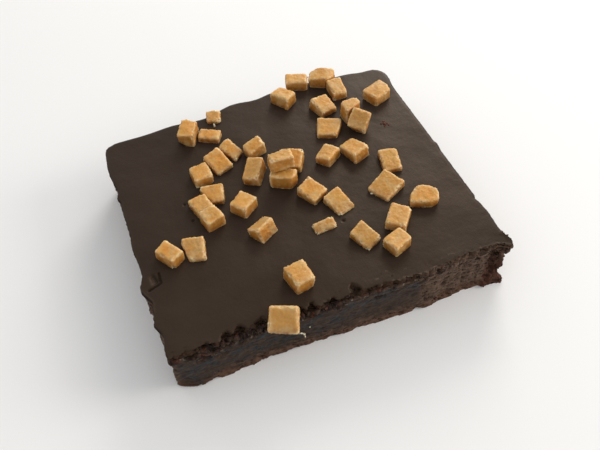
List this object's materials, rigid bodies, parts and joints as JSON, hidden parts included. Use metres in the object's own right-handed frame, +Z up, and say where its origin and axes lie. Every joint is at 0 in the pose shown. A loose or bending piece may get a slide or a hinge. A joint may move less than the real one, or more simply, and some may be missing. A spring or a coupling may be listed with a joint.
{
  "type": "caramel brownie",
  "caption": "Cut slab of dense chocolate brownie under smooth chocolate icing, scattered with small dice of caramel fudge.",
  "frame": {"origin": "centre of the brownie's box on the face that it rests on", "axes": "+X to the right along the front cut, +Y to the back, +Z up through the icing"},
  "size_m": [0.0922, 0.0864, 0.0249],
  "materials": {
    "brownie_crumb": "dense dark brown baked crumb, porous and craggy, smeared with chocolate on the front cut",
    "chocolate_icing": "set chocolate icing, satin, grey-brown, with a fine grain and soft undulations",
    "fudge": "sugary caramel fudge, matt with paler crystallised edges"
  },
  "bodies": {
    "root": {"brownie_crumb": "brownie_crumb", "chocolate_icing": "chocolate_icing", "fudge_01": "fudge", "fudge_02": "fudge", "fudge_03": "fudge", "fudge_04": "fudge", "fudge_05": "fudge", "fudge_06": "fudge", "fudge_07": "fudge", "fudge_08": "fudge", "fudge_09": "fudge", "fudge_10": "fudge", "fudge_11": "fudge", "fudge_12": "fudge", "fudge_13": "fudge", "fudge_14": "fudge", "fudge_15": "fudge", "fudge_16": "fudge", "fudge_17": "fudge", "fudge_18": "fudge", "fudge_19": "fudge", "fudge_20": "fudge", "fudge_21": "fudge", "fudge_22": "fudge", "fudge_23": "fudge", "fudge_24": "fudge", "fudge_25": "fudge", "fudge_26": "fudge", "fudge_27": "fudge", "fudge_28": "fudge", "fudge_29": "fudge", "fudge_30": "fudge", "fudge_31": "fudge", "fudge_32": "fudge", "fudge_33": "fudge", "fudge_34": "fudge", "fudge_35": "fudge", "fudge_36": "fudge", "fudge_37": "fudge", "fudge_38": "fudge", "fudge_39": "fudge", "fudge_40": "fudge"}
  },
  "joints": []
}
